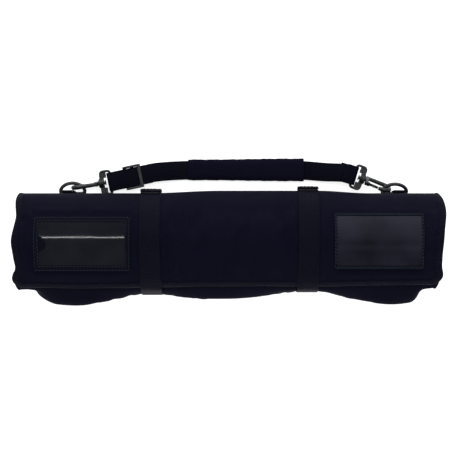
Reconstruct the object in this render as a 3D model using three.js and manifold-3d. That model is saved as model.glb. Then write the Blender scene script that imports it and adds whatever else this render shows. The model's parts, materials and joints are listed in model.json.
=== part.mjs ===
// Rolled equipment bag: a padded fabric panel rolled up on itself, held by two webbing straps,
// with two card windows on its outer face and a carry strap clipped to two D-rings.
// Millimetres. X runs along the roll, +Y is the carry strap's side, +Z is up from the table.
import * as THREE from "three";
import { mergeVertices } from "three/addons/utils/BufferGeometryUtils.js";
import Module from "manifold-3d";

const wasm = await Module();
wasm.setup();

// ---- driving dimensions -------------------------------------------------------------------
const GAP = 0.35;                 // clearance between pieces that touch

const ROLL_HALF = 260;            // half the roll's length
const BINDING = 3;                // width of the binding tape on every cut edge
const SHELL_T = 1.2;              // outer fabric
const FOAM_T = 4.6;               // closed-cell foam
const LINING_T = 1.0;             // lining fabric
const POCKET_T = 1.0;             // row of pockets sewn on the lining
const TURN_GAP = 1.3;             // air between one turn of the roll and the next
const STRAP_LIFT = 2.3;           // how far the tight straps lift the fabric off the table
const PANEL_T = SHELL_T + FOAM_T + LINING_T + POCKET_T + 3 * GAP;
const PITCH = PANEL_T + TURN_GAP;
const TURNS = 2.15;
const STATIONS = 73;              // evenly spaced along the first three turns of the spiral

const POCKET = { before: 9, inset: 12 };      // stations before the second turn; inset from the ends

const STRAP_W = 25;               // compression straps
const STRAP_T = 1.6;
const STRAP_MARGIN = 3.5;         // fabric held down beside each strap
const STRAP_X = { left: -92.5, right: 96 };
const TAPE_T = 1.3;               // hook-and-loop tape under the strap's tail
const TAIL_START = 59;            // how far out in +Y the tail begins

// Outer face of the first turn in the (y, z) plane, clockwise from the free edge on top of the
// roll, over the crease, down the far side, along the flat base and up under the free edge.
const OUTER_TURN = [
  [-53, 46], [-40, 55], [-22, 60.5], [-8, 62], [5, 65], [30, 58.5], [49, 46.5], [60, 33], [61.5, 22],
  [56, 9.5], [38, STRAP_LIFT], [14, STRAP_LIFT], [-14, STRAP_LIFT], [-38, STRAP_LIFT],
  [-54, 9], [-60, 22], [-56, 33],
];
// Bulges of the outer fabric between the straps: centre, half width and height along -Y.
const LOBES = [
  { x: -187, half: 75, height: 13 },
  { x: -8, half: 80, height: 4 },
  { x: 190, half: 75, height: 10 },
];

const LOBE_FLANKS = [-232, -142, 55, 150, 230];

const WINDOWS = {
  left: { x: -173, halfX: 57, yTop: 30.5, yBottom: -29.5, border: 6, notch: true },
  right: { x: 179, halfX: 53, yTop: 34.6, yBottom: -27, border: 3, notch: false },
};
const WINDOW_T = 0.8;
const NOTCH_R = 9;

const SWING = { y: 64.8, z: 27 };             // root of the ring tabs, where the carry strap swings
const RING_BAR = { y: 61.9, z: 10 };          // axis of both rings' straight bars
const RING_WIRE = 2.25;
const RING_HALF = 15;                         // half width along the bar, to the wire's centre
const RING_DEPTH = 13;                        // from the bar to the bow's centre
const RINGS = {
  left: { x: -190.4, tabX: -194.4, tilt: 6 },
  right: { x: 203.7, tabX: 208.1, tilt: 28.3 },
};
const TAB_W = 15;
const TAB_T = 1.4;

const HOOK_R = 7;                             // radius of the hook's bend, to the wire's centre
const HOOK_WIRE = 2.3;
const HOOK_SHANK = 21;
const NOSE_START = 15;                        // where the hook's nose ends, from the collar
const GATE_R = 1.9;
const STEM_R = 2;
const BARREL_R = 6;
const BARREL_L = 6.6;
const BAIL_HALF = 14.1;                       // half width of the bail's opening, to its bar's centre
const BAIL_BAR = 1.6;
const BAIL_L = 12.2;                          // between the centres of the bail's two bars
const BAIL_CORNER = { along: 3, across: 4 };
const COLLAR = { front: 0.4, length: 4, rim: 0.7 };
const HEAD = { gap: 1.2, length: 1.4, rim: 1.4 };  // the stem's head, behind the barrel
const GATE_START = 1.1;
const SHOULDER = { length: 4, thickness: 2.8, inset: 1.4, cheek: 2.6 };  // plate between the bail's arms
// Where each hook's collar sits, where it points (yaw, pitch) and how it is turned on its swivel.
const HOOKS = {
  left: { at: [-162.2, 73.5, 10.2], yaw: 188.8, pitch: 0.2, turn: 83.4, webYaw: 192 },
  right: { at: [171.4, 77.1, 12.1], yaw: -22, pitch: 2, turn: -59.7, webYaw: -17 },
};

const WEB_W = 23.2;                             // carry strap
const WEB_T = 1.6;
const FOLD_GAP = 0.9;                         // slack of the webbing round a bail's bar
const LAYER_DROP = 5;                         // from the strap down to its folded-back end
const SLEEVE = { from: -49, to: 93, width: 29, height: 9.5, z: 6.2, y: 91.3 };
const SLIDER = { along: 28, length: 22, rail: 2.6, bar: 4.4, barT: 2.2 };
const SLACK = 4;                              // straight webbing past each end of the sleeve

// ---- small geometry kit ----------------------------------------------------------------------
const rad = THREE.MathUtils.degToRad;
const vec = (x, y, z) => new THREE.Vector3(x, y, z);
const smooth = (value, low, high) => THREE.MathUtils.smoothstep(value, low, high);

function signedVolume(points, triangles) {
  let sum = 0;
  for (const [a, b, c] of triangles) {
    sum += points[a].dot(points[b].clone().cross(points[c]));
  }
  return sum / 6;
}

// A closed body from points and triangles, turned so that its faces point out.
function body(points, triangles) {
  const outward = signedVolume(points, triangles) > 0;
  const index = triangles.flatMap(([a, b, c]) => (outward ? [a, b, c] : [a, c, b]));
  const geometry = new THREE.BufferGeometry();
  geometry.setAttribute("position", new THREE.Float32BufferAttribute(points.flatMap((p) => p.toArray()), 3));
  geometry.setIndex(index);
  return geometry;
}

// A thick sheet between two grids of points; with wrap, its rows close on themselves.
function thickSheet(outer, inner, wrap = false) {
  const rows = outer.length;
  const columns = outer[0].length;
  const points = [...outer.flat(), ...inner.flat()];
  const at = (side, i, j) => side * rows * columns + i * columns + (j % columns);
  const triangles = [];
  const quad = (a, b, c, d) => triangles.push([a, b, c], [a, c, d]);
  const lastColumn = wrap ? columns : columns - 1;
  for (let i = 0; i < rows - 1; i += 1) {
    for (let j = 0; j < lastColumn; j += 1) {
      quad(at(0, i, j), at(0, i + 1, j), at(0, i + 1, j + 1), at(0, i, j + 1));
      quad(at(1, i, j), at(1, i, j + 1), at(1, i + 1, j + 1), at(1, i + 1, j));
    }
  }
  for (let j = 0; j < lastColumn; j += 1) {
    quad(at(0, 0, j), at(0, 0, j + 1), at(1, 0, j + 1), at(1, 0, j));
    quad(at(0, rows - 1, j), at(1, rows - 1, j), at(1, rows - 1, j + 1), at(0, rows - 1, j + 1));
  }
  if (!wrap) {
    const end = columns - 1;
    for (let i = 0; i < rows - 1; i += 1) {
      quad(at(0, i, 0), at(1, i, 0), at(1, i + 1, 0), at(0, i + 1, 0));
      quad(at(0, i, end), at(0, i + 1, end), at(1, i + 1, end), at(1, i, end));
    }
  }
  return body(points, triangles);
}

// A bar of the given section swept along points; side is the section's first direction at each.
function sweep(path, section, sideAt, closed = false) {
  const count = path.length;
  const rings = path.map((point, i) => {
    const before = path[closed ? (i + count - 1) % count : Math.max(i - 1, 0)];
    const after = path[closed ? (i + 1) % count : Math.min(i + 1, count - 1)];
    const tangent = after.clone().sub(before).normalize();
    const side = sideAt(i, tangent);
    const normal = tangent.clone().cross(side).normalize();
    return section.map(([a, b]) => point.clone().addScaledVector(side, a).addScaledVector(normal, b));
  });
  const sides = section.length;
  const points = rings.flat();
  const triangles = [];
  const spans = closed ? count : count - 1;
  for (let i = 0; i < spans; i += 1) {
    const next = (i + 1) % count;
    for (let k = 0; k < sides; k += 1) {
      const a = i * sides + k;
      const b = i * sides + ((k + 1) % sides);
      const c = next * sides + ((k + 1) % sides);
      const d = next * sides + k;
      triangles.push([a, b, c], [a, c, d]);
    }
  }
  if (!closed) {
    const last = (count - 1) * sides;
    for (let k = 1; k < sides - 1; k += 1) {
      triangles.push([0, k + 1, k], [last, last + k, last + k + 1]);
    }
  }
  return body(points, triangles);
}

function circleSection(radius, sides) {
  return Array.from({ length: sides }, (_, k) => {
    const angle = (2 * Math.PI * k) / sides;
    return [radius * Math.cos(angle), radius * Math.sin(angle)];
  });
}

const rectSection = (width, height) => [
  [-width / 2, -height / 2], [width / 2, -height / 2], [width / 2, height / 2], [-width / 2, height / 2],
];

function toManifold(geometry) {
  const bare = geometry.clone();
  bare.deleteAttribute("normal");
  bare.deleteAttribute("uv");
  const merged = mergeVertices(bare, 1e-4);
  return new wasm.Manifold(new wasm.Mesh({
    numProp: 3,
    vertProperties: merged.attributes.position.array,
    triVerts: new Uint32Array(merged.index.array),
  }));
}

function fromManifold(solid) {
  const mesh = solid.getMesh();
  const geometry = new THREE.BufferGeometry();
  geometry.setAttribute("position", new THREE.BufferAttribute(mesh.vertProperties, 3));
  geometry.setIndex(new THREE.BufferAttribute(mesh.triVerts, 1));
  return geometry;
}

const join = (...parts) => fromManifold(parts.map(toManifold).reduce((sum, part) => sum.add(part)));
const cut = (from, ...tools) => fromManifold(tools.map(toManifold).reduce((rest, tool) => rest.subtract(tool),
  toManifold(from)));
const box = (sx, sy, sz, x, y, z) => new THREE.BoxGeometry(sx, sy, sz).translate(x, y, z);

// ---- the roll --------------------------------------------------------------------------------
// The first turn's outline, then the same outline drawn in by one pitch for each further turn.
function spiralCurve() {
  const turn = OUTER_TURN.map(([y, z]) => vec(0, y, z));
  const normalAt = (i) => {
    const before = turn[Math.max(i - 1, 0)];
    const after = turn[Math.min(i + 1, turn.length - 1)];
    return vec(0, -(after.z - before.z), after.y - before.y).normalize();
  };
  const points = [...turn];
  for (let lap = 1; lap < Math.ceil(TURNS); lap += 1) {
    turn.forEach((point, i) => points.push(point.clone().addScaledVector(normalAt(i), -PITCH * lap)));
  }
  return new THREE.CatmullRomCurve3(points, false, "centripetal");
}

// Stations along the outer face: evenly spaced points with their outward mitres.
function spiralStations() {
  const all = spiralCurve().getSpacedPoints(STATIONS);
  const kept = all.slice(0, Math.round(all.length * (TURNS / Math.ceil(TURNS))) + 1);
  return kept.map((point, i) => {
    point.z = Math.max(point.z, STRAP_LIFT);
    const before = kept[Math.max(i - 1, 0)];
    const after = kept[Math.min(i + 1, kept.length - 1)];
    const first = point.clone().sub(before).normalize();
    const second = after.clone().sub(point).normalize();
    const tangent = first.clone().add(second).normalize();
    const lean = Math.max(0.7, i > 0 && i < kept.length - 1 ? first.dot(tangent) : 1);
    const outward = vec(0, -tangent.z, tangent.y).divideScalar(lean);
    return { point, outward };
  });
}

const stations = spiralStations();
// The station where the second turn passes under the free edge.
const FIRST_LAP = stations.findIndex(({ point }, i) => i > 12 && point.y < -40 && point.z > 34);

function lobeHeight(x) {
  return LOBES.reduce((sum, lobe) => {
    const t = Math.min(Math.abs(x - lobe.x) / lobe.half, 1);
    return sum + lobe.height * 0.5 * (1 + Math.cos(Math.PI * t));
  }, 0);
}

// Pushes a point of the first turn out along -Y in the lobes, and down to the table between straps.
function relax(point, x) {
  const onEdge = smooth(-point.y, 34, 56) * (1 - smooth(point.z, 22, 33));
  const underStrap = Object.values(STRAP_X).some((centre) => Math.abs(x - centre) < STRAP_W / 2 + STRAP_MARGIN);
  const onBase = underStrap ? 0 : 1 - smooth(point.z, STRAP_LIFT, 14);
  const drop = onBase * Math.min(point.z, STRAP_LIFT);
  return vec(x, point.y - lobeHeight(x) * onEdge, point.z - drop);
}

// A point on the roll: depth is measured inward from the outer face, station may be fractional.
function rollPoint(station, x, depth, relaxed = false) {
  const low = Math.min(Math.floor(station), stations.length - 2);
  const ends = [stations[low], stations[low + 1]].map((s, k) => {
    const at = s.point.clone().addScaledVector(s.outward, -depth);
    return relaxed && low + k < FIRST_LAP ? relax(at, x) : vec(x, at.y, at.z);
  });
  return ends[0].lerp(ends[1], station - low);
}

// Rows along X and columns along the spiral, at two depths, as one thick sheet.
function rollSheet(xs, columns, depth, thickness, relaxed = false) {
  const grid = (d) => xs.map((x) => columns.map((station) => rollPoint(station, x, d, relaxed)));
  return thickSheet(grid(depth), grid(depth + thickness));
}

const wholeSteps = (from, to) => {
  const list = [from];
  for (let i = Math.floor(from) + 1; i < to; i += 1) list.push(i);
  return [...list, to];
};

// The station on top of the roll where the outer face passes over the given y.
function stationOver(y) {
  const i = stations.findIndex((s, k) => k > 0 && s.point.y >= y);
  const before = stations[i - 1].point;
  return i - 1 + (y - before.y) / (stations[i].point.y - before.y);
}

// The panel's two ends, inside the end bindings, and the places along it where its shape changes.
const panelEnd = ROLL_HALF - BINDING - GAP;
const endXs = [-panelEnd, panelEnd];
const strapEdges = Object.values(STRAP_X).flatMap((x) => [-1, 1].flatMap((side) => [
  x + side * (STRAP_W / 2 + STRAP_MARGIN - 0.5),
  x + side * (STRAP_W / 2 + STRAP_MARGIN + 3),
]));
const lobeTops = LOBES.map((lobe) => lobe.x);
const shellXs = [...endXs, ...strapEdges, ...lobeTops, ...LOBE_FLANKS].sort((a, b) => a - b);
const lastStation = stations.length - 1;
const hemStation = 0.35;                      // where the free edge's binding ends
const panelSteps = wholeSteps(hemStation, lastStation);
const depths = {
  shell: 0,
  foam: SHELL_T + GAP,
  lining: SHELL_T + FOAM_T + 2 * GAP,
  pocket: SHELL_T + FOAM_T + LINING_T + 3 * GAP,
};

const FABRIC = { color: 0x0b0b12, roughness: 0.85, metalness: 0 };
const WEBBING = { color: 0x0a0a10, roughness: 0.8, metalness: 0 };
const FOAM = { color: 0x303034, roughness: 0.95, metalness: 0 };
const PLASTIC = { color: 0x0c1012, roughness: 0.35, metalness: 0 };
const CLEAR = { color: 0x1a2024, roughness: 0.1, metalness: 0 };

const bag = new THREE.Group();

function add(name, geometry, finish, place) {
  const mesh = new THREE.Mesh(geometry, new THREE.MeshStandardMaterial(finish));
  mesh.name = name;
  if (place) mesh.applyMatrix4(place);
  bag.add(mesh);
}

add("outer_shell", rollSheet(shellXs, panelSteps, depths.shell, SHELL_T, true), FABRIC);
add("foam_padding", rollSheet(endXs, panelSteps, depths.foam, FOAM_T), FOAM);
add("lining_panel", rollSheet(endXs, panelSteps, depths.lining, LINING_T), FABRIC);

const pocketSteps = wholeSteps(FIRST_LAP - POCKET.before, lastStation);
const pocketXs = [endXs[0] + POCKET.inset, endXs[1] - POCKET.inset];
add("pocket_panel", rollSheet(pocketXs, pocketSteps, depths.pocket, POCKET_T), FABRIC);

// Binding tape over the two spiral ends and along the free edge.
const bindingT = PANEL_T - POCKET_T - GAP;
for (const [side, sign] of [["left", -1], ["right", 1]]) {
  const xs = [sign * (ROLL_HALF - BINDING), sign * ROLL_HALF];
  add(`end_binding_${side}`, rollSheet(xs, wholeSteps(0, lastStation), 0, bindingT), WEBBING);
}
const hemXs = [-ROLL_HALF + BINDING + GAP, ROLL_HALF - BINDING - GAP];
add("free_edge_binding", rollSheet(hemXs, [0, hemStation - 0.04], 0, bindingT), WEBBING);

// ---- compression straps ----------------------------------------------------------------------
// The convex outline that a tight strap takes round the roll, offset outward by a distance.
function hull(points) {
  const sorted = [...points].sort((a, b) => a[0] - b[0] || a[1] - b[1]);
  const half = (list) => list.reduce((chain, p) => {
    const turn = () => {
      const [a, b] = chain.slice(-2);
      return (b[0] - a[0]) * (p[1] - a[1]) - (b[1] - a[1]) * (p[0] - a[0]);
    };
    while (chain.length > 1 && turn() <= 1e-6) chain.pop();
    chain.push(p);
    return chain;
  }, []);
  return [...half(sorted).slice(0, -1), ...half(sorted.reverse()).slice(0, -1)];
}

function offsetOutline(outline, distance) {
  return outline.map(([y, z], i) => {
    const [py, pz] = outline[(i + outline.length - 1) % outline.length];
    const [ny, nz] = outline[(i + 1) % outline.length];
    const a = new THREE.Vector2(y - py, z - pz).normalize();
    const b = new THREE.Vector2(ny - y, nz - z).normalize();
    const tangent = a.clone().add(b).normalize();
    const reach = distance / Math.max(0.6, a.dot(tangent));
    return [y + tangent.y * reach, z - tangent.x * reach];
  });
}

const rollOutline = hull(stations.slice(0, FIRST_LAP + 2).map((s) => [s.point.y, s.point.z]));

function strapGrid(centre, width, outline) {
  return [-width / 2, width / 2].map((dx) => outline.map(([y, z]) => vec(centre + dx, y, z)));
}

// Points of the outline over the +Y edge, in order from its foot to its top.
const steepness = ([y, z]) => Math.atan2(z - 20, y);
const upwards = (points) => points.sort((a, b) => steepness(a) - steepness(b));

for (const [side, centre] of Object.entries(STRAP_X)) {
  const inner = offsetOutline(rollOutline, GAP);
  const outer = offsetOutline(rollOutline, GAP + STRAP_T);
  add(`compression_strap_${side}`,
    thickSheet(strapGrid(centre, STRAP_W, outer), strapGrid(centre, STRAP_W, inner), true), WEBBING);
  const layers = [
    [`closure_tape_${side}`, GAP + STRAP_T + GAP, TAPE_T, STRAP_W - 4, TAIL_START, 20],
    [`strap_tail_${side}`, GAP + STRAP_T + TAPE_T + 2 * GAP, STRAP_T, STRAP_W, TAIL_START, 8],
  ];
  for (const [name, depth, thickness, width, fromY, toZ] of layers) {
    const pick = (distance) => {
      const line = offsetOutline(rollOutline, distance);
      const keep = rollOutline.map(([y, z]) => y > fromY && z > toZ);
      return upwards(line.filter((_, i) => keep[i]));
    };
    add(name, thickSheet(strapGrid(centre, width, pick(depth + thickness)), strapGrid(centre, width, pick(depth))),
      WEBBING);
  }
}

// ---- card windows ----------------------------------------------------------------------------
for (const [side, w] of Object.entries(WINDOWS)) {
  const xs = [w.x - w.halfX, w.x + w.halfX];
  const innerXs = [xs[0] + w.border, xs[1] - w.border];
  const from = stationOver(w.yBottom);
  const to = stationOver(w.yTop);
  const sheet = (x, a, b, lift, t) => rollSheet(x, wholeSteps(a, b), -(lift + t), t);
  const opening = box(innerXs[1] - innerXs[0], w.yTop - w.yBottom - 2 * w.border, 60,
    w.x, (w.yTop + w.yBottom) / 2, 60);
  const frameLift = 2 * GAP + 2 * WINDOW_T;
  add(`window_backing_${side}`, sheet(xs, from, to, GAP, WINDOW_T), FABRIC);
  const paneFrom = stationOver(w.yBottom + w.border / 2);
  const paneTo = stationOver(w.yTop - w.border / 2);
  const paneXs = [xs[0] + w.border / 2, xs[1] - w.border / 2];
  const pane = sheet(paneXs, paneFrom, paneTo, 2 * GAP + WINDOW_T, WINDOW_T);
  const notch = new THREE.CylinderGeometry(NOTCH_R, NOTCH_R, 60, 24)
    .rotateX(Math.PI / 2).translate(paneXs[0], (w.yTop + w.yBottom) / 2, 60);
  add(`window_pane_${side}`, w.notch ? cut(pane, notch) : pane, CLEAR);
  add(`window_frame_${side}`, cut(sheet(xs, from, to, frameLift + GAP, WINDOW_T), opening), FABRIC);
}

// ---- ring tabs and rings ---------------------------------------------------------------------
const X_AXIS = vec(1, 0, 0);

// A tab of folded webbing: sewn shut at its root and open round the ring's bar at its foot.
function tabLoop(x) {
  const inner = RING_WIRE + GAP;
  const outer = inner + TAB_T;
  const rise = Math.hypot(SWING.y - RING_BAR.y, SWING.z - RING_BAR.z) - 2;
  const neck = 8;
  const profile = new THREE.Shape();
  profile.moveTo(-outer, 0);
  profile.absarc(0, 0, outer, Math.PI, 2 * Math.PI, false);
  profile.lineTo(TAB_T, neck);
  profile.lineTo(TAB_T, rise);
  profile.lineTo(-TAB_T, rise);
  profile.lineTo(-TAB_T, neck);
  const eye = new THREE.Path();
  eye.absarc(0, 0, inner, 0, 2 * Math.PI, true);
  profile.holes.push(eye);
  const geometry = new THREE.ExtrudeGeometry(profile, { depth: TAB_W, bevelEnabled: false, curveSegments: 8 });
  const up = vec(0, SWING.y - RING_BAR.y, SWING.z - RING_BAR.z).normalize();
  const place = new THREE.Matrix4().makeBasis(up.clone().cross(X_AXIS), up, X_AXIS);
  return geometry.applyMatrix4(place.setPosition(x - TAB_W / 2, RING_BAR.y, RING_BAR.z));
}

// A D-shaped ring in its own plane: u along the bar, v towards the bow.
function ringPath() {
  const path = [];
  for (let i = 0; i <= 4; i += 1) path.push([-RING_HALF + 3 + ((RING_HALF - 3) * i) / 2, 0]);
  for (let i = 0; i <= 14; i += 1) {
    const angle = (Math.PI * i) / 14;
    path.push([RING_HALF * Math.cos(angle), 2.2 + (RING_DEPTH - 2.2) * Math.sin(angle)]);
  }
  return path;
}

for (const [side, ring] of Object.entries(RINGS)) {
  const bow = vec(0, Math.cos(rad(ring.tilt)), Math.sin(rad(ring.tilt)));
  const across = X_AXIS.clone().cross(bow);
  const centre = vec(ring.x, RING_BAR.y, RING_BAR.z);
  const path = ringPath().map(([u, v]) => centre.clone().addScaledVector(X_AXIS, u).addScaledVector(bow, v));
  add(`ring_tab_${side}`, tabLoop(ring.tabX), WEBBING);
  add(`d_ring_${side}`, sweep(path, circleSection(RING_WIRE, 8), () => across, true), PLASTIC);
}

// ---- swivel hooks ----------------------------------------------------------------------------
// Built along u from the collar, with the bend in the u-v plane and w across it.
function hookMatrix({ at, yaw, pitch, turn }) {
  const u = vec(Math.cos(rad(yaw)) * Math.cos(rad(pitch)), Math.sin(rad(yaw)) * Math.cos(rad(pitch)),
    Math.sin(rad(pitch)));
  const flat = vec(0, 0, 1).cross(u).normalize();
  const v = flat.clone().applyAxisAngle(u, rad(turn));
  const w = u.clone().cross(v);
  return new THREE.Matrix4().makeBasis(u, v, w).setPosition(...at);
}

// A round bar on the u axis; it may taper towards its back end.
function rod(from, to, radius, sides, backRadius = radius) {
  return new THREE.CylinderGeometry(backRadius, radius, from - to, sides)
    .rotateZ(Math.PI / 2).translate((from + to) / 2, 0, 0);
}

const COLLAR_BACK = COLLAR.front - COLLAR.length;
const BARREL_FRONT = COLLAR_BACK - GAP;
const BARREL_BACK = BARREL_FRONT - BARREL_L;

function hookBody() {
  const path = [vec(0, HOOK_R, 0), vec(HOOK_SHANK / 2, HOOK_R, 0)];
  for (let i = 0; i <= 10; i += 1) {
    const angle = Math.PI / 2 - (Math.PI * i) / 10;
    path.push(vec(HOOK_SHANK + HOOK_R * Math.cos(angle), HOOK_R * Math.sin(angle), 0));
  }
  path.push(vec(NOSE_START, -HOOK_R, 0));
  const across = vec(0, 0, 1);
  const bend = sweep(path, circleSection(HOOK_WIRE, 8), () => across);
  const collar = box(COLLAR.length, 2 * (HOOK_R + HOOK_WIRE), 2 * (HOOK_WIRE + COLLAR.rim),
    COLLAR.front - COLLAR.length / 2, 0, 0);
  const headFront = BARREL_BACK - HEAD.gap;
  const stem = rod(COLLAR_BACK + 1, headFront - 1, STEM_R, 10);
  const head = rod(headFront, headFront - HEAD.length, STEM_R + HEAD.rim, 12);
  return join(bend, collar, stem, head);
}

const gateBar = () => rod(NOSE_START - 2 * GAP, GATE_START, GATE_R, 10).translate(0, -HOOK_R, 0);

// The bail that the webbing loops round, with the swivel barrel on its front bar.
function bail() {
  const barrel = rod(BARREL_FRONT, BARREL_BACK, BARREL_R - 0.8, 14, BARREL_R);
  const bore = rod(BARREL_FRONT + 5, BARREL_BACK - 5, STEM_R + GAP, 12);
  const near = BARREL_BACK + BARREL_L * 0.55;
  const far = near - BAIL_L;
  const half = [
    vec(far, BAIL_HALF, 0),
    vec(near - BAIL_CORNER.along, BAIL_HALF, 0),
    vec(near, BAIL_HALF - BAIL_CORNER.across, 0),
  ];
  const otherHalf = half.map((point) => vec(point.x, -point.y, 0)).reverse();
  const frame = sweep([...half, ...otherHalf], circleSection(BAIL_BAR, 8), () => vec(0, 0, 1), true);
  const shoulder = box(SHOULDER.length, 2 * (BAIL_HALF - SHOULDER.inset), SHOULDER.thickness,
    near - SHOULDER.length / 2, 0, 0);
  const cheekW = BAIL_HALF - SHOULDER.inset - BARREL_R;
  const cheeks = [-1, 1].map((s) => box(SHOULDER.cheek + 1, cheekW, SHOULDER.thickness,
    near - SHOULDER.length - (SHOULDER.cheek - 1) / 2, s * (BARREL_R + cheekW / 2), 0));
  return { solid: cut(join(frame, shoulder, ...cheeks, barrel), bore), far };
}

const bailShape = bail();
const bails = {};
for (const [side, hook] of Object.entries(HOOKS)) {
  const turned = hookMatrix(hook);
  const flat = hookMatrix({ ...hook, turn: 0 });
  add(`hook_body_${side}`, hookBody(), PLASTIC, turned);
  add(`hook_gate_${side}`, gateBar(), PLASTIC, turned);
  add(`swivel_bail_${side}`, bailShape.solid, PLASTIC, flat);
  bails[side] = {
    bar: vec(bailShape.far, 0, 0).applyMatrix4(flat),
    away: vec(-Math.cos(rad(hook.webYaw)), -Math.sin(rad(hook.webYaw)), 0),
  };
}

// ---- carry strap -----------------------------------------------------------------------------
const FOLD_R = BAIL_BAR + FOLD_GAP + WEB_T / 2;

// Half a turn of webbing round a bail's bar, from under it to over it.
function foldRound({ bar, away }) {
  return Array.from({ length: 7 }, (_, i) => {
    const angle = -Math.PI / 2 + (Math.PI * i) / 6;
    return bar.clone().addScaledVector(away, -FOLD_R * Math.cos(angle)).add(vec(0, 0, FOLD_R * Math.sin(angle)));
  });
}

const along = ({ bar, away }, distance, lift) => bar.clone().addScaledVector(away, distance).add(vec(0, 0, lift));

// The strap's single length of webbing: under the left bail, over it, through the slider and the
// sleeve, over the right bail and back under it.
function webbingPath() {
  const { left, right } = bails;
  const lowLeft = [50, 36, 22, 8].map((d) => along(left, d, FOLD_R - LAYER_DROP - 0.3));
  const highLeft = [6, 16, 26, 36, 49].map((d) => along(left, d, FOLD_R - 0.2));
  const middle = new THREE.CatmullRomCurve3([
    highLeft[4], along(left, 54, FOLD_R - 0.7), vec(-73, 89.6, 9.6),
    vec(SLEEVE.from - SLACK, SLEEVE.y - 0.6, SLEEVE.z), vec(SLEEVE.from + 18, SLEEVE.y, SLEEVE.z),
    vec(18, SLEEVE.y, SLEEVE.z), vec(SLEEVE.to - 18, SLEEVE.y, SLEEVE.z),
    vec(SLEEVE.to + SLACK, SLEEVE.y - 1, SLEEVE.z), vec(118, 86.2, 9.6),
    along(right, 16, FOLD_R), along(right, 6, FOLD_R),
  ], false, "centripetal").getSpacedPoints(30).slice(1);
  const lowRight = [8, 13, 18].map((d) => along(right, d, FOLD_R - LAYER_DROP - 0.1 * d));
  return [...lowLeft, ...foldRound(left), ...highLeft, ...middle, ...foldRound(right).reverse(), ...lowRight];
}

const webPath = webbingPath();
// The webbing's width lies level, square to the strap's line in plan.
const webSide = (i) => {
  const x = THREE.MathUtils.clamp(webPath[i].x, bails.left.bar.x, bails.right.bar.x);
  const toLeft = smooth(x, bails.left.bar.x + 36, -60);
  const toRight = smooth(x, 60, bails.right.bar.x - 6);
  const heading = bails.left.away.clone().lerp(X_AXIS, toLeft).lerp(bails.right.away.clone().negate(), toRight);
  return vec(-heading.y, heading.x, 0).normalize();
};
add("carry_webbing", sweep(webPath, rectSection(WEB_W, WEB_T), webSide), WEBBING);

// A three-bar slider: rails beside the webbing, two bars under it and the last one over it.
function slider() {
  const rail = (WEB_W / 2) + GAP + SLIDER.rail / 2;
  const topGap = WEB_T / 2 + GAP;
  const { barT } = SLIDER;
  const rails = [-1, 1].map((s) => box(SLIDER.length, SLIDER.rail, 2 * (topGap + barT), 0, s * rail, 0));
  const end = (SLIDER.length - SLIDER.bar) / 2;
  const under = [-end, 0].map((x) => box(SLIDER.bar, 2 * rail, barT, x, 0, -topGap - barT / 2));
  const over = box(SLIDER.bar, 2 * rail, barT, end, 0, topGap + barT / 2);
  return join(...rails, ...under, over);
}
const sliderX = bails.left.away;
const sliderAt = along(bails.left, SLIDER.along, FOLD_R - 0.2);
add("strap_slider", slider(), PLASTIC,
  new THREE.Matrix4().makeBasis(sliderX, vec(-sliderX.y, sliderX.x, 0), vec(0, 0, 1)).setPosition(sliderAt));

// The padded grip: a flat tube round the webbing.
function gripSleeve() {
  const length = SLEEVE.to - SLEEVE.from;
  const outline = new THREE.Shape();
  const half = (SLEEVE.width - SLEEVE.height) / 2;
  outline.absarc(half, 0, SLEEVE.height / 2, -Math.PI / 2, Math.PI / 2, false);
  outline.absarc(-half, 0, SLEEVE.height / 2, Math.PI / 2, (3 * Math.PI) / 2, false);
  const hole = new THREE.Path();
  const holeW = WEB_W / 2 + 1.1;
  const holeH = WEB_T / 2 + 1;
  hole.setFromPoints([[-holeW, -holeH], [-holeW, holeH], [holeW, holeH], [holeW, -holeH]].map(
    ([a, b]) => new THREE.Vector2(a, b)));
  outline.holes.push(hole);
  const geometry = new THREE.ExtrudeGeometry(outline, { depth: length, bevelEnabled: false, curveSegments: 6 });
  const place = new THREE.Matrix4().makeBasis(vec(0, 1, 0), vec(0, 0, 1), X_AXIS);
  return geometry.applyMatrix4(place.setPosition(SLEEVE.from, SLEEVE.y, SLEEVE.z));
}
add("grip_sleeve", gripSleeve(), FABRIC);

export default bag;
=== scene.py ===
"""Looks of the rolled equipment bag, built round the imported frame. Metres; +X along the roll, +Z up."""
import json
import math

import bmesh
import bpy
import numpy as np
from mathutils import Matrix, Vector


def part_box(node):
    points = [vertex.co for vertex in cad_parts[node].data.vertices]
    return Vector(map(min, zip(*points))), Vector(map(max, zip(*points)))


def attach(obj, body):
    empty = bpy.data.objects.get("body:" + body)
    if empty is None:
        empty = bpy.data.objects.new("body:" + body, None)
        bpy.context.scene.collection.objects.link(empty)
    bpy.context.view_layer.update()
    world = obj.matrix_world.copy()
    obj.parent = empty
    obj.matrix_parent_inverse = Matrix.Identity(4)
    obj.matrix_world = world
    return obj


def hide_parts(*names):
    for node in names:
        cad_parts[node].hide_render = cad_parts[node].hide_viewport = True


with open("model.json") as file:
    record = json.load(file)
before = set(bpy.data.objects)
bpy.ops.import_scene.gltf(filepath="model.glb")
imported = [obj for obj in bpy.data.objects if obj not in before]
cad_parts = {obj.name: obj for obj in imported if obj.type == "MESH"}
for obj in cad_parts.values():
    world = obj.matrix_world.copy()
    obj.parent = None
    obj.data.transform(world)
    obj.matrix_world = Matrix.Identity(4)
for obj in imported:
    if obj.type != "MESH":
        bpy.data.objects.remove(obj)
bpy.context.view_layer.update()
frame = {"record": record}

MM = 0.001
SIDES = ("left", "right")

# ---- sizes, worked out from the frame


def x_range(node):
    """A node's lowest and highest X."""
    lowest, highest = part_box(node)
    return lowest[0], highest[0]


def centre(node):
    return np.mean(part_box(node), axis=0)


def joint(name):
    return next(j for j in frame["record"]["behaviour"]["joints"] if j["name"] == name)


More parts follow.
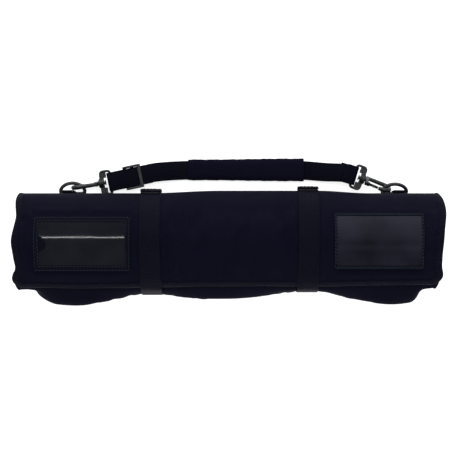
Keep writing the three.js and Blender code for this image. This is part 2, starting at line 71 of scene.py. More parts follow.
ROLL_HALF = x_range("end_binding_right")[1]
SHELL_T = 1.2 * MM
FOAM_T = 4.6 * MM
LINING_T = 1.0 * MM
GAP = 0.35 * MM  # air between two layers of the panel
PANEL_T = SHELL_T + FOAM_T + LINING_T + 2 * GAP
PITCH = 10.15 * MM  # from one turn of the roll to the next
TURNS = 2.15
BINDING = 3 * MM  # the shell ends half of this short of the roll's ends
BIND_W = 9 * MM
TAPE_X = ROLL_HALF - 2 * MM  # middle of the tape along both ends
CLOTH_STEP = 5 * MM  # grid of the simulated cloth
ABOVE_TABLE = 0.1 * MM  # no cloth lies lower

STRAP_LIFT = 2.3 * MM  # how far the straps lift the roll off the table
STRAP_X = {side: centre(f"compression_strap_{side}")[0] for side in SIDES}
STRAP_W = np.ptp(x_range("compression_strap_left"))
STRAP_T = 1.5 * MM

# Middle of each ring's bar and of its tab along X in millimetres, and the ring's tilt in degrees.
RINGS = {"left": (-190.4, -194.4, 6), "right": (203.7, 208.1, 28.3)}
RING_WIRE = 2.2 * MM
BAR = np.array(joint("ring_tilt_left")["pos_m"])
SWING = np.array(joint("strap_swing")["pos_m"])
TAB_W = 15 * MM
TAB_T = 1.3 * MM

HOOK_R = 7 * MM  # of the hook's bend, and half the hook's width
HOOK_WIRE = 2.25 * MM
SHANK = 21 * MM
NOSE = 15 * MM
BARREL = 6.6 * MM
BARREL_R = 5.9 * MM
BARREL_FRONT = -3.95 * MM
HEAD = BARREL_FRONT - BARREL - 1.2 * MM  # front face of the stem's head
BAIL_HALF = 14.1 * MM
BAIL_WIRE = 1.6 * MM
BAIL_CORNER = 3.2 * MM
BAIL_NEAR = BARREL_FRONT - 0.45 * BARREL
BAIL_FAR = BAIL_NEAR - 12.2 * MM
PLATE_HALF = 12.7 * MM

WEB_W = 23.2 * MM
WEB_T = 1.5 * MM
FOLD_R = BAIL_WIRE + (0.9 + 0.8) * MM  # of the webbing's middle round a bail
LAYER_DROP = 5 * MM  # from the webbing's upper layer to its lower one
WEB_YAW = {"left": 192, "right": -17}  # heading of the webbing at each bail, in degrees
# The webbing's middle where it bends between each bail's straight run and the grip.
WEB_BENDS = {"left": (-0.073, 0.0896, 0.0096), "right": (0.118, 0.0884, 0.0096)}
SLEEVE_X = x_range("grip_sleeve")
SLEEVE_MID = centre("grip_sleeve")

X_AXIS = np.array([1.0, 0, 0])
Z_AXIS = np.array([0, 0, 1.0])

# Outer face of the roll's first turn, (y, z) in millimetres, clockwise from the free edge.
OUTER_TURN = [
    (-53, 46), (-40, 55), (-22, 60.5), (-8, 62), (5, 65), (30, 58.5), (49, 46.5), (60, 33), (61.5, 22),
    (56, 9.5), (38, 2.3), (14, 2.3), (-14, 2.3), (-38, 2.3), (-54, 9), (-60, 22), (-56, 33),
]
# Bulges of the fabric along -Y between the straps: centre, half width and height.
LOBES = [(-0.187, 0.092, 0.0145), (-0.008, 0.092, 0.0082), (0.194, 0.084, 0.0135)]
# How far each end is drawn in along X, in millimetres, at places along Y in millimetres.
END_INSET = {
    "left": [(-80, 13), (-66, 12), (-58, 9), (-52, 5), (-45, 2.6), (-37, 3.4), (-28, 7.4), (-14, 5.2),
             (4, 3.2), (21, 6), (33, 8), (46, 6), (55, 5.2), (63, 7), (75, 9)],
    "right": [(-80, 16), (-64, 14), (-54, 9), (-46, 6), (-36, 4.2), (-23, 6.2), (6, 4.4), (23, 2.4),
              (36, 0.2), (46, 0.2), (55, 1.9), (61, 5), (68, 8), (75, 9)],
}

# ---- small mesh kit


def new_object(name, points, faces, material, uvs=None):
    mesh = bpy.data.meshes.new(name)
    mesh.from_pydata([tuple(p) for p in points], [], [tuple(f) for f in faces])
    if uvs is not None:
        layer = mesh.uv_layers.new(name="UVMap")
        corner = np.empty(len(mesh.loops), dtype=np.int32)
        mesh.loops.foreach_get("vertex_index", corner)
        layer.data.foreach_set("uv", np.asarray(uvs, dtype=np.float32)[corner].ravel())
    mesh.polygons.foreach_set("use_smooth", [True] * len(mesh.polygons))
    mesh.materials.append(material)
    obj = bpy.data.objects.new(name, mesh)
    bpy.context.scene.collection.objects.link(obj)
    make_outward(mesh)
    return obj


def make_outward(mesh):
    """Turns a closed mesh's faces outward."""
    shape = bmesh.new()
    shape.from_mesh(mesh)
    if shape.calc_volume(signed=True) < 0:
        bmesh.ops.reverse_faces(shape, faces=shape.faces)
        shape.to_mesh(mesh)
    shape.free()


def grid_faces(rows, columns, wrap, base=0, flip=False):
    i, j = np.meshgrid(np.arange(rows - 1), np.arange(columns if wrap else columns - 1), indexing="ij")
    k = (j + 1) % columns
    quads = np.stack([i * columns + j, (i + 1) * columns + j, (i + 1) * columns + k, i * columns + k], -1)
    quads = quads.reshape(-1, 4) + base
    return quads[:, ::-1] if flip else quads


def tube_faces(rows, sides, base=0):
    """Faces of a tube of rings of points, with a cap at each end."""
    last = base + (rows - 1) * sides
    caps = [list(range(base, base + sides))[::-1], list(range(last, last + sides))]
    return grid_faces(rows, sides, True, base).tolist() + caps


def thick_sheet(name, outer, inner, material, uv, wrap=False):
    """A closed sheet between two grids of points (rows, columns, 3), with crisp cut edges."""
    rows, columns = outer.shape[:2]
    count = rows * columns
    points = np.concatenate([outer.reshape(-1, 3), inner.reshape(-1, 3)])
    faces = [grid_faces(rows, columns, wrap), grid_faces(rows, columns, wrap, count, flip=True)]
    span = np.arange(columns if wrap else columns - 1)
    after = (span + 1) % columns
    last = (rows - 1) * columns
    faces.append(np.stack([span, after, after + count, span + count], -1))
    faces.append(np.stack([last + span, last + span + count, last + after + count, last + after], -1))
    if not wrap:
        side = np.arange(rows - 1) * columns
        end = columns - 1
        faces.append(np.stack([side, side + count, side + columns + count, side + columns], -1))
        faces.append(np.stack([side + end, side + columns + end, side + columns + end + count,
                               side + end + count], -1))
    flat = uv.reshape(-1, 2)
    obj = new_object(name, points, np.concatenate(faces), material, np.concatenate([flat, flat]))
    sharpen(obj)
    return obj


def sharpen(obj, angle=50):
    """Marks the edges sharper than angle, so that smooth shading stops there."""
    shape = bmesh.new()
    shape.from_mesh(obj.data)
    limit = math.radians(angle)
    for edge in shape.edges:
        if len(edge.link_faces) == 2 and edge.calc_face_angle(0) > limit:
            edge.smooth = False
    shape.to_mesh(obj.data)
    shape.free()


def unit(v):
    v = np.asarray(v, dtype=float)
    return v / np.maximum(np.linalg.norm(v, axis=-1, keepdims=True), 1e-12)


def distances(points):
    """The length along a polyline at each of its points."""
    return np.concatenate([[0], np.cumsum(np.linalg.norm(np.diff(points, axis=0), axis=1))])


def sweep(name, path, section, side, material, closed=False):
    """section: (k, 2) points swept along path; side: the section's first direction at each point."""
    count, sides = len(path), section.shape[-2]
    path = np.asarray(path)
    side = np.broadcast_to(side, (count, 3))
    section = np.broadcast_to(section, (count, sides, 2))
    ahead = np.roll(path, -1, 0) - np.roll(path, 1, 0) if closed else np.gradient(path, axis=0)
    normal = unit(np.cross(unit(ahead), side))
    points = path[:, None] + section[..., :1] * side[:, None] + section[..., 1:] * normal[:, None]
    uv = np.stack(np.meshgrid(distances(path), distances(section[0]), indexing="ij"), -1)
    faces = grid_faces(count + 1, sides, True) % (count * sides) if closed else tube_faces(count, sides)
    obj = new_object(name, points.reshape(-1, 3), faces, material, uv.reshape(-1, 2))
    sharpen(obj)
    return obj


def straight(middle, direction, half, count=15):
    """Points on the straight line that reaches half to both sides of middle."""
    return middle + np.linspace(-half, half, count)[:, None] * direction


def circle(radius, sides=20):
    angle = np.arange(sides) * 2 * np.pi / sides
    return np.stack([radius * np.cos(angle), radius * np.sin(angle)], -1)


def rounded_rect(width, height, radius, steps=4):
    points = []
    for k, (sx, sy) in enumerate([(1, 1), (-1, 1), (-1, -1), (1, -1)]):
        for i in range(steps + 1):
            angle = math.pi / 2 * (k + i / steps)
            points.append((sx * (width / 2 - radius) + radius * math.cos(angle),
                           sy * (height / 2 - radius) + radius * math.sin(angle)))
    return np.array(points)


def smoothstep(value, start, end):
    t = np.clip((value - start) / (end - start), 0, 1)
    return t * t * (3 - 2 * t)


def catmull(points, per_span, alpha=0.5):
    """A centripetal Catmull-Rom curve through the points."""
    points = np.asarray(points, dtype=float)
    ends = np.vstack([2 * points[0] - points[1], points, 2 * points[-1] - points[-2]])
    out = []
    for spot in zip(ends, ends[1:], ends[2:], ends[3:]):
        gaps = [np.linalg.norm(b - a) ** alpha for a, b in zip(spot, spot[1:])]
        knots = np.concatenate([[0], np.cumsum(gaps)])
        t = np.linspace(knots[1], knots[2], per_span, endpoint=False)[:, None]
        # Three rounds of blending neighbours, each between knots one step further apart.
        for reach in (1, 2):
            spot = [((knots[k + reach] - t) * spot[k] + (t - knots[k]) * spot[k + 1])
                    / (knots[k + reach] - knots[k]) for k in range(4 - reach)]
        out.append(((knots[2] - t) * spot[0] + (t - knots[1]) * spot[1]) / (knots[2] - knots[1]))
    return np.vstack([*out, points[-1]])


def even(points, step):
    """The polyline's points at an even spacing of about step."""
    far = distances(points)
    count = max(2, int(round(far[-1] / step)) + 1)
    at = np.linspace(0, far[-1], count)
    return np.stack([np.interp(at, far, points[:, k]) for k in range(points.shape[1])], -1)


def dashes(name, runs, material, length=2.9 * MM, pitch=4.1 * MM, radius=0.42 * MM):
    """Rows of thread stitches: each run is (points, outward normals or normal)."""
    points, faces = [], []
    stations = [(-1, 0.25), (-0.8, 0.85), (0, 1), (0.8, 0.85), (1, 0.25)]
    ring = circle(1, 6)
    for line, normals in runs:
        normals = np.broadcast_to(normals, line.shape)
        far = distances(line)

        def at_distance(distance, grid):
            return np.array([np.interp(distance, far, grid[:, k]) for k in range(3)])

        for start in np.arange(pitch / 2, far[-1] - pitch / 2, pitch):
            at = at_distance(start, line)
            along = unit(at_distance(start + 0.3 * MM, line) - at)
            up = unit(at_distance(start, normals))
            across = np.cross(along, up)
            faces += tube_faces(len(stations), len(ring), len(points))
            for t, wide in stations:
                spot = at + along * t * length / 2 + up * 0.1 * MM
                points += [spot + radius * wide * (a * across + b * up) for a, b in ring]
    return new_object(name, points, faces, material)


def turned(name, profile, origin, axis, side, sides=36):
    """A turned plastic piece: profile is (distance along axis, radius) in millimetres."""
    axis, side = unit(axis), unit(side)
    round_it = circle(1, sides) @ np.array([side, np.cross(axis, side)])
    points = np.concatenate([origin + (axis * far + radius * round_it) * MM for far, radius in profile])
    obj = new_object(name, points, tube_faces(len(profile), sides), PLASTIC)
    sharpen(obj, 40)
    return obj


def merge(name, objects):
    """Joins objects into one, named name."""
    bpy.ops.object.select_all(action="DESELECT")
    for obj in objects:
        obj.select_set(True)
    bpy.context.view_layer.objects.active = objects[0]
    bpy.ops.object.join()
    objects[0].name = name
    return objects[0]


def place(obj, body, slot, *nodes, fill=None):
    """Parents a piece to its body's empty and hides the frame's nodes that it stands for; slot (its finish)
    and fill (a padded piece's) are not used.
    """
    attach(obj, body)
    if nodes:
        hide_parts(*nodes)


# ---- materials

WAVE_PERIOD = 0.314  # metres between the waves of a wave texture of scale 1
INK = (0.0030, 0.0028, 0.0095)
DARK_CLOTH = {"Sheen_Weight": 0.01, "Specular_IOR_Level": 0.05, "Specular_Tint": (0.6, 0.6, 1.0, 1.0)}


class Material:
    """A Principled material with the few node helpers that the finishes share."""

    def __init__(self, name, color, roughness, **sockets):
        self.data = bpy.data.materials.new(name)
        self.data.use_nodes = True
        self.nodes = self.data.node_tree.nodes
        self.shader = self.nodes["Principled BSDF"]
        self.color = color
        self.feed(self.shader, Base_Color=(*color, 1), Roughness=roughness, **sockets)
        self.coords = self.nodes.new("ShaderNodeTexCoord")
        self.height = None

    def feed(self, node, **inputs):
        """Sets a node's inputs, each to a value or to another node's output."""
        for key, value in inputs.items():
            slot = node.inputs[key.replace("_", " ")]
            if isinstance(value, bpy.types.NodeSocket):
                self.data.node_tree.links.new(value, slot)
            else:
                slot.default_value = value
        return node

    def add(self, kind, **inputs):
        return self.feed(self.nodes.new("ShaderNode" + kind), **inputs)

    def noise(self, scale, detail=4, stretch=None):
        vector = self.coords.outputs["Object"]
        if stretch:
            vector = self.add("Mapping", Scale=stretch, Vector=vector).outputs["Vector"]
        return self.add("TexNoise", Scale=scale, Detail=detail, Vector=vector).outputs["Fac"]

    def bands(self, spacing, axis, distort=0.0):
        """Waves that repeat every spacing metres of the UVs."""
        node = self.add("TexWave", Scale=WAVE_PERIOD / spacing, Distortion=distort,
                        Vector=self.coords.outputs["UV"])
        node.bands_direction = axis
        return node.outputs["Fac"]

    def math(self, operation, a, b):
        node = self.nodes.new("ShaderNodeMath")
        node.operation = operation
        for slot, value in zip(node.inputs, (a, b)):
            if isinstance(value, (int, float)):
                slot.default_value = value
            else:
                self.data.node_tree.links.new(value, slot)
        return node.outputs[0]

    def contrast(self, factor):
        """Spreads the middle of a noise over the whole of 0 to 1."""
        return self.math("MULTIPLY", self.math("SUBTRACT", factor, 0.36), 3.4)

    def ramp(self, factor, low, high):
        """Maps a factor of 0 to 1 onto low to high."""
        return self.add("MapRange", To_Min=low, To_Max=high, Value=factor).outputs["Result"]

    def bump(self, height, distance, strength=1.0):
        """A relief on top of the ones before it."""
        node = self.add("Bump", Distance=distance, Strength=strength, Height=height)
        if self.height:
            self.feed(node, Normal=self.height)
        self.height = node.outputs["Normal"]
        self.feed(self.shader, Normal=self.height)

    def tint(self, factor, other):
        """Colour varies between the base colour and other."""
        node = self.add("Mix")
        node.data_type = "RGBA"
        self.feed(node, A=(*self.color, 1), B=(*other, 1), Factor=factor)
        self.feed(self.shader, Base_Color=node.outputs["Result"])

    def rough(self, factor, low, high):
        self.feed(self.shader, Roughness=self.ramp(factor, low, high))


def woven(name, color, thread, roughness=0.7, worn=(0.0065, 0.0062, 0.016), twill=False):
    """Cloth of the given thread spacing in metres, on UVs in metres."""
    m = Material(name, color, roughness, Sheen_Roughness=0.45, **DARK_CLOTH)
    warp, weft = m.bands(2 * thread, "X"), m.bands(2 * thread, "DIAGONAL" if twill else "Y")
    m.bump(m.noise(34, 5), 1.6 * MM, 0.45)
    m.bump(m.noise(210, 3), 0.25 * MM, 0.5)
    m.bump(m.math("MULTIPLY", warp, weft), 0.16 * MM, 0.7)
    m.tint(m.ramp(m.noise(9, 3), 0.0, 0.9), worn)
    m.rough(m.noise(55, 4), roughness - 0.09, roughness + 0.1)
    return m.data


def ribbed(name, color, worn, rib=1.8 * MM, herringbone=2.6 * MM):
    """Nylon webbing: ribs across the strap and a fine herringbone along it."""
    m = Material(name, color, 0.6, Sheen_Roughness=0.4, **DARK_CLOTH)
    m.bump(m.bands(rib, "X", distort=0.6), 0.3 * MM, 0.9)
    m.bump(m.bands(herringbone, "Y"), 0.22 * MM, 0.7)
    m.bump(m.noise(700, 2), 0.1 * MM, 0.5)
    m.tint(m.ramp(m.noise(26, 4), 0, 1), worn)
    m.rough(m.noise(120, 3), 0.46, 0.68)
    return m.data


def moulded(name, color, roughness, scuff):
    """Moulded plastic: faint pebble, flow mottling and lighter scuffed patches at random."""
    m = Material(name, color, roughness, Specular_IOR_Level=0.45, Coat_Weight=0.08, Coat_Roughness=0.3)
    m.bump(m.noise(900, 2), 0.05 * MM, 0.5)
    m.bump(m.noise(120, 4), 0.18 * MM, 0.35)
    m.tint(m.ramp(m.noise(160, 5), 0, 0.8), scuff)
    m.rough(m.noise(75, 4), roughness - 0.08, roughness + 0.14)
    return m.data


def film(name, color, roughness, haze, transmission, coat=0.25, gloss=0.3, cloud=30):
    """Vinyl window film: glossy, a little wavy, hazed and finely scratched."""
    m = Material(name, color, roughness, Transmission_Weight=transmission, IOR=1.5,
                 Specular_IOR_Level=gloss, Coat_Weight=coat, Coat_Roughness=0.08)
    m.bump(m.noise(17, 2), 2.4 * MM, 0.55)
    m.bump(m.noise(90, 3, stretch=(0.4, 3, 1)), 0.12 * MM, 0.3)
    m.tint(m.contrast(m.noise(cloud, 3)), haze)
    m.rough(m.noise(60, 5, stretch=(1, 6, 1)), roughness - 0.04, roughness + 0.1)
    return m.data


def felted(name, color, tuft):
    """Hook-and-loop pile."""
    m = Material(name, color, 0.9, Sheen_Weight=0.4, Sheen_Roughness=0.6)
    m.bump(m.noise(1 / tuft, 3), 0.5 * MM, 0.9)
    m.tint(m.noise(300, 3), (0.02, 0.02, 0.028))
    m.rough(m.noise(90, 2), 0.82, 0.98)
    return m.data


SHELL = woven("shell_cloth", INK, 0.55 * MM)
LINING = woven("lining_cloth", (0.012, 0.012, 0.017), 0.4 * MM, twill=True)
SLEEVE_CLOTH = woven("sleeve_cloth", (0.0042, 0.0038, 0.013), 0.5 * MM, worn=(0.008, 0.0076, 0.019))
EDGE_CLOTH = woven("window_border_cloth", (0.0032, 0.0038, 0.009), 0.45 * MM, 0.6, (0.006, 0.0075, 0.013))
TAPE = ribbed("binding_tape", (0.0035, 0.0035, 0.009), (0.008, 0.008, 0.016))
WEBBING = ribbed("webbing", (0.0032, 0.0032, 0.008), (0.007, 0.007, 0.014))
PILE = felted("hook_and_loop", (0.006, 0.006, 0.009), 0.6 * MM)
FOAM = felted("foam", (0.035, 0.035, 0.04), 0.9 * MM)
THREAD = ribbed("thread", (0.007, 0.007, 0.015), (0.012, 0.012, 0.022))
# Thread for the window stitching: its pale teal colour is painted highlight, standing in for the light caught
# along the window borders' raised edges.
THREAD_PAINTED_HIGHLIGHT = ribbed("thread_painted_highlight", (0.020, 0.028, 0.036), (0.036, 0.050, 0.060))
PLASTIC = moulded("acetal", (0.006, 0.008, 0.010), 0.36, (0.02, 0.026, 0.03))
RING_PLASTIC = moulded("ring_plastic", (0.007, 0.009, 0.012), 0.42, (0.03, 0.038, 0.045))
CLEAR = film("clear_vinyl", (0.005, 0.006, 0.011), 0.08, (0.009, 0.011, 0.018), 0.2)
FROSTED = film("hazy_vinyl", (0.002, 0.0024, 0.008), 0.5, (0.014, 0.016, 0.030), 0.1, coat=0.0, gloss=0.12,
               cloud=16)

# ---- the roll's surface


def spiral():
    """The outer face from the free edge inward, evenly spaced, as (y, z) in metres."""
    turn = np.array(OUTER_TURN) * MM
    ahead, behind = np.vstack([turn[1:], turn[-1:]]), np.vstack([turn[:1], turn[:-1]])
    tangent = unit(ahead - behind)
    normal = np.stack([-tangent[:, 1], tangent[:, 0]], -1)
    laps = [turn - normal * PITCH * lap for lap in range(3)]
    curve = even(catmull(np.vstack(laps), 14), 1.5 * MM)
    curve[:, 1] = np.maximum(curve[:, 1], STRAP_LIFT)
    return curve[:int(len(curve) * TURNS / len(laps))]


def spiral_normals(spine, window=7):
    """The spiral's outward normals, averaged over a few points."""
    normals = np.stack([-np.gradient(spine[:, 1]), np.gradient(spine[:, 0])], -1)
    return unit(np.stack([np.convolve(np.pad(normals[:, k], window // 2, "edge"),
                                      np.ones(window) / window, "valid") for k in range(2)], -1))


SPINE = spiral()
SPINE_NORMAL = spiral_normals(SPINE)
SPINE_ARC = distances(SPINE)
ROLL_LENGTH = SPINE_ARC[-1]
SECOND_LAP = (SPINE[:, 0] < -0.045) & (SPINE[:, 1] > 0.034) & (SPINE_ARC > 0.1)
FIRST_LAP = SPINE_ARC[np.argmax(SECOND_LAP)]  # arc length where the second turn starts
END_CURVES = {side: catmull(np.array(knots, float) * MM, 8, 0.0).T for side, knots in END_INSET.items()}


def near_straps(x, reach):
    """1 under a strap, fading to 0 at reach beyond its edge."""
    inner, outer = STRAP_W / 2 + 1 * MM, STRAP_W / 2 + reach
    return sum(1 - smoothstep(np.abs(x - at), inner, outer) for at in STRAP_X.values())


def settle(points):
    """Warps the straight roll: lobes along -Y between the straps, soft ends, and cloth down on the table."""
    x, y, z = (points[..., k].copy() for k in range(3))
    left = x < 0
    front = smoothstep(-y, 0.030, 0.058)
    lower = 1 - smoothstep(z, 0.024, 0.036)
    lobes = sum(height * 0.5 * (1 + np.cos(np.pi * np.clip(np.abs(x - at) / half, 0, 1)))
                for at, half, height in LOBES)
    corner = np.where(left, 15 * MM, 19 * MM) * smoothstep(np.abs(x), np.where(left, 0.206, 0.220), 0.249)
    pinch = 3.5 * MM * np.exp(-((x - STRAP_X["right"]) / 0.032) ** 2)
    y = y + (corner + pinch - lobes) * front * lower
    swell = 3 * MM * smoothstep(x, -0.10, -0.01) * (1 - smoothstep(x, 0.11, 0.17))
    y = y + (0.4 * MM + swell) * smoothstep(y, 0.03, 0.06)
    inset = np.where(left, *(np.interp(y, *END_CURVES[side]) for side in SIDES))
    x = x - np.sign(x) * inset * smoothstep(np.abs(x), 0.225, 0.26)
    rows = 0.8 * MM * (np.sin(x * 31 + 1.3) + 0.7 * np.sin(x * 67 + z * 90))
    y = y + rows * (1 - near_straps(x, 0.03)) * smoothstep(-y, 0.035, 0.06)
    free = 1 - np.clip(near_straps(x, 0.016), 0, 1)
    z = z - free * STRAP_LIFT * (1 - smoothstep(z, STRAP_LIFT, 0.016))
    droop = smoothstep(np.abs(x), 0.16, 0.26) * smoothstep(z, 0.03, 0.065)
    z = z - droop * (1.2 * MM + 0.8 * MM * np.sin(x * 45))
    return np.stack([x, y, z], -1)


CLOTH_X = np.linspace(-ROLL_HALF, ROLL_HALF, int(2 * ROLL_HALF / CLOTH_STEP) + 1)
CLOTH_ARC = np.linspace(0, FIRST_LAP, int(FIRST_LAP / CLOTH_STEP) + 1)
WRINKLES = np.zeros((len(CLOTH_X), len(CLOTH_ARC), 3))


def wrinkle_at(x, arc):
    """The simulated displacement at places on the first turn, by bilinear lookup."""
    u = np.clip((x + ROLL_HALF) / (2 * ROLL_HALF), 0, 1) * (len(CLOTH_X) - 1)
    v = np.clip(arc / FIRST_LAP, 0, 1) * (len(CLOTH_ARC) - 1)
    i, j = np.minimum(u.astype(int), len(CLOTH_X) - 2), np.minimum(v.astype(int), len(CLOTH_ARC) - 2)
    fu, fv = (u - i)[..., None], (v - j)[..., None]
    top = WRINKLES[i, j] * (1 - fv) + WRINKLES[i, j + 1] * fv
    bottom = WRINKLES[i + 1, j] * (1 - fv) + WRINKLES[i + 1, j + 1] * fv
    inside = (arc < FIRST_LAP)[..., None]
    return (top * (1 - fu) + bottom * fu) * inside


def on_roll(x, arc, depth=0.0, wrinkled=True):
    """Points at (x, arc along the spiral, depth inward from the outer face)."""
    x, arc = np.broadcast_arrays(np.asarray(x, dtype=float), np.asarray(arc, dtype=float))
    y, z = (np.interp(arc, SPINE_ARC, SPINE[:, k]) - depth * np.interp(arc, SPINE_ARC, SPINE_NORMAL[:, k])
            for k in range(2))
    points = settle(np.stack([x, y, z], -1))
    if wrinkled:
        points = points + wrinkle_at(x, arc)
    points[..., 2] = np.maximum(points[..., 2], ABOVE_TABLE)
    return points


def roll_normal(x, arc):
    return unit(on_roll(x, arc, -1 * MM) - on_roll(x, arc, 0))


def hem(x):
    """How far the free edge is drawn in: rounded corners at both ends and a slight wave between."""
    corner = 13 * MM
    past = np.clip(np.abs(x) - (TAPE_X - corner), 0, corner)
    wave = 2.2 * MM + 2.6 * MM * (smoothstep(x, -0.19, -0.04) + smoothstep(x, 0.1, 0.2))
    wave = wave + 0.5 * MM * np.sin(x * 17 + 0.6)
    return wave + corner - np.sqrt(np.maximum(corner ** 2 - past ** 2, 0))


def arc_over(y):
    """The arc length where the first turn's top passes over y."""
    top = SPINE_ARC < FIRST_LAP / 3
    return float(np.interp(y, SPINE[top, 0], SPINE_ARC[top]))


def window_place(side):
    """A window's reach along X and along the spiral."""
    lowest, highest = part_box(f"window_frame_{side}")
    return (lowest[0], highest[0]), (arc_over(lowest[1]), arc_over(highest[1]))


def cloth_hold(x, arc, y):
    """How firmly the first turn's cloth is held, 0 to 1: at the straps, windows, hem and ends."""
    held = np.clip(near_straps(x, 0.006), 0, 1)
    held = np.maximum(held, (np.abs(x) > ROLL_HALF - 8 * MM) | (arc < 16 * MM) | (arc > FIRST_LAP - 12 * MM))
    for side in SIDES:
        (x0, x1), (arc0, arc1) = window_place(side)
        away = np.maximum(np.maximum(x0 - x, x - x1), np.maximum(arc0 - arc, arc - arc1))
        held = np.maximum(held, 1 - smoothstep(away, 2 * MM, 9 * MM))
    return np.maximum(held, smoothstep(y, 0.032, 0.050))


def simulate_wrinkles():
    """Swells the first turn's cloth with a pressure, and keeps how far it moved in WRINKLES."""
    x, arc = np.meshgrid(CLOTH_X, CLOTH_ARC, indexing="ij")
    start = on_roll(x, arc, wrinkled=False)
    obj = new_object("cloth_trial", start.reshape(-1, 3), grid_faces(*x.shape, False), SHELL)
    normal = unit(np.cross(np.gradient(start, axis=0), np.gradient(start, axis=1)))
    out = on_roll(x, arc, -1 * MM, wrinkled=False) - start
    if (normal * out).sum() < 0:
        obj.data.flip_normals()
    held = cloth_hold(x, arc, start[..., 1])
    group = obj.vertex_groups.new(name="held")
    for i, weight in enumerate(held.ravel()):
        group.add([i], float(weight), "REPLACE")
    settings = obj.modifiers.new("Cloth", "CLOTH").settings
    settings.vertex_group_mass = "held"
    settings.use_pressure = True
    settings.uniform_pressure_force = 4
    settings.shrink_min = -0.035
    settings.bending_stiffness = 1.5
    settings.tension_stiffness = settings.compression_stiffness = 25
    settings.effector_weights.gravity = 0
    scene = bpy.context.scene
    for frame_number in range(1, 21):
        scene.frame_set(frame_number)
    shape = obj.evaluated_get(bpy.context.evaluated_depsgraph_get()).data
    end = np.empty(len(shape.vertices) * 3)
    shape.vertices.foreach_get("co", end)
    scene.frame_set(1)
    bpy.data.objects.remove(obj)
    move = end.reshape(start.shape) - start
    size = np.linalg.norm(move, axis=-1, keepdims=True)
    most, most_inward = 4.5 * MM, 0.8 * MM
    move = move / np.maximum(size, 1e-9) * most * np.tanh(size / most)
    inward = np.minimum((move * unit(out)).sum(-1, keepdims=True) + most_inward, 0)
    WRINKLES[:] = (move - inward * unit(out)) * (1 - held)[..., None]


# ---- the roll's layers


def roll_layer(name, xs, first, last, depth, thickness, step, material, at_hem=True):
    """A layer of the roll from arc first to last; at_hem gives it the free edge's shape and the wrinkles."""
    columns = max(2, int((last - first) / step) + 1)
    start = first + (hem(xs) if at_hem else 0 * xs)[:, None]
    arc = start + np.linspace(0, 1, columns)[None] * (last - start)
    x = np.broadcast_to(xs[:, None], arc.shape)
    outer = on_roll(x, arc, depth, at_hem)
    inner = on_roll(x, arc, depth + thickness, at_hem)
    return thick_sheet(name, outer, inner, material, np.stack([x, arc], -1))


def along_roll(inset, count):
    return np.linspace(-ROLL_HALF + inset, ROLL_HALF - inset, count)


def make_roll():
    fine, coarse = along_roll(BINDING / 2, 210), along_roll(4 * MM, 60)
    foam_depth, lining_depth = SHELL_T + GAP, PANEL_T - LINING_T
    for name, xs, inset, depth, thickness, step, material, slot, node, fill in (
            ("shell", fine, 2, 0, SHELL_T, 3, SHELL, "shell_fabric", "outer_shell", 0.35),
            ("padding", coarse, 4, foam_depth, FOAM_T, 6, FOAM, "foam", "foam_padding", 0.5),
            ("lining", coarse, 3, lining_depth, LINING_T, 5, LINING, "lining", "lining_panel", 0.2)):
        layer = roll_layer(f"roll_{name}", xs, inset * MM, ROLL_LENGTH - inset * MM, depth, thickness,
                           step * MM, material)
        place(layer, "bag", slot, node, fill=fill)
    pockets = roll_layer("roll_pockets", along_roll(16 * MM, 120), FIRST_LAP * 0.75, ROLL_LENGTH - 10 * MM,
                         PANEL_T + GAP, 0.9 * MM, 5 * MM, LINING, at_hem=False)
    place(pockets, "bag", "lining", "pocket_panel", fill=0.2)


def binding(name, xs, arcs, *nodes):
    """Tape folded round a cut edge that runs through the given places; returns its seam and its normals."""
    outer = on_roll(xs, arcs, 0)
    inner = on_roll(xs, arcs, PANEL_T)
    up = unit(outer - inner)
    path = (outer + inner) / 2
    thick = np.linalg.norm(outer - inner, axis=-1)
    inside = unit(np.cross(unit(np.gradient(path, axis=0)), up))
    if (inside * (on_roll(0 * xs, np.clip(arcs + 0.05, 0, FIRST_LAP), 0) - path)).sum() < 0:
        inside = -inside
    middle = path + inside * (BIND_W / 2 - 2 * MM)
    size = np.stack([np.full_like(thick, BIND_W), thick + 1.6 * MM], -1)
    section = rounded_rect(1, 1, 0.28)[None] * size[:, None]
    points = middle[:, None] + section[..., :1] * inside[:, None] + section[..., 1:] * up[:, None]
    points[..., 2] = np.maximum(points[..., 2], ABOVE_TABLE)
    sides = section.shape[1]
    uv = np.stack(np.meshgrid(distances(path), np.linspace(0, 0.03, sides), indexing="ij"), -1)
    tape = new_object(name, points.reshape(-1, 3), tube_faces(len(path), sides), TAPE, uv.reshape(-1, 2))
    place(tape, "bag", "webbing", *nodes)
    seam = middle + inside * (BIND_W / 2 - 1.4 * MM) + up * (thick / 2 + 0.85 * MM)[:, None]
    return seam, up


def make_bindings():
    """One tape along the left end, round the free edge and along the right end."""
    hem_x = np.sin(np.linspace(-1, 1, 400) * np.pi / 2) * TAPE_X
    route = np.vstack([[(-TAPE_X, ROLL_LENGTH)], np.stack([hem_x, hem(hem_x)], -1), [(TAPE_X, ROLL_LENGTH)]])
    xs, arcs = even(route, 1.8 * MM).T
    seam, up = binding("edge_tape", xs, arcs, *(f"end_binding_{side}" for side in SIDES), "free_edge_binding")
    seen = arcs < FIRST_LAP
    place(dashes("edge_stitching", [(seam[seen], up[seen])], THREAD), "bag", "webbing")


# ---- card windows


def patch(name, xs, arcs, lift, thickness, material, notch=0.0):
    """A sheet on the roll; notch is the radius of the thumb cut in its first end."""
    columns, rows = 44, 60
    x = np.broadcast_to(np.linspace(*xs, rows)[:, None], (rows, columns))
    arc = np.broadcast_to(np.linspace(*arcs, columns)[None], (rows, columns))
    bite = np.sqrt(np.maximum(notch ** 2 - (arc - np.mean(arcs)) ** 2, 0))
    x = x + bite * (xs[1] - x) / (xs[1] - xs[0])
    return thick_sheet(name, on_roll(x, arc, -lift - thickness), on_roll(x, arc, -lift), material,
                       np.stack([x, arc], -1))


